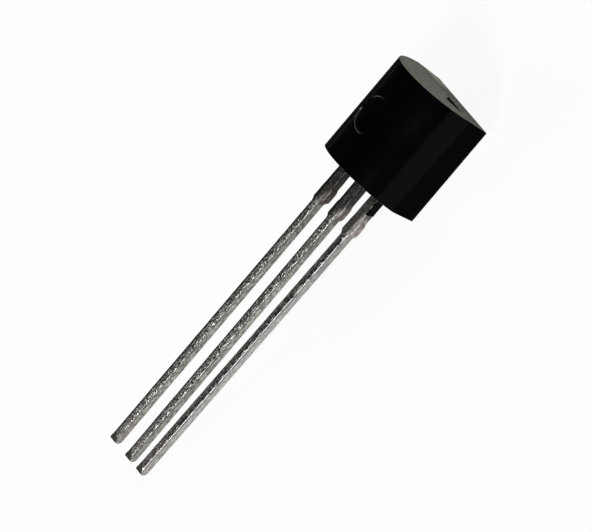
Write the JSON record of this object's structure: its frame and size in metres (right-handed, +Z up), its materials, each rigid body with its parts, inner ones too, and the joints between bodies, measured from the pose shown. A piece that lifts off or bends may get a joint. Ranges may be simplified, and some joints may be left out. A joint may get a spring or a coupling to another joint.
{
  "type": "through-hole transistor",
  "caption": "Small moulded D-shaped transistor with flat stamped leads in a row, lying on its flat face.",
  "frame": {"origin": "on the surface that the part lies on, under the middle of its overall box", "axes": "+Y runs along the package from the leads' ends to the top of the body, +Z is up, out of the round back, and +X runs along the row of leads from the base lead to the emitter lead"},
  "size_m": [0.0044, 0.019, 0.0038],
  "materials": {
    "black_epoxy": "satin",
    "tinned_lead": "satin",
    "silicon": "gloss",
    "solder": "satin",
    "bond_wire": "polished"
  },
  "bodies": {
    "root": {"moulded_body": "black_epoxy", "base_lead": "tinned_lead", "collector_lead": "tinned_lead", "emitter_lead": "tinned_lead", "chip": "silicon", "chip_solder": "solder", "base_wire": "bond_wire", "emitter_wire": "bond_wire"}
  },
  "joints": []
}
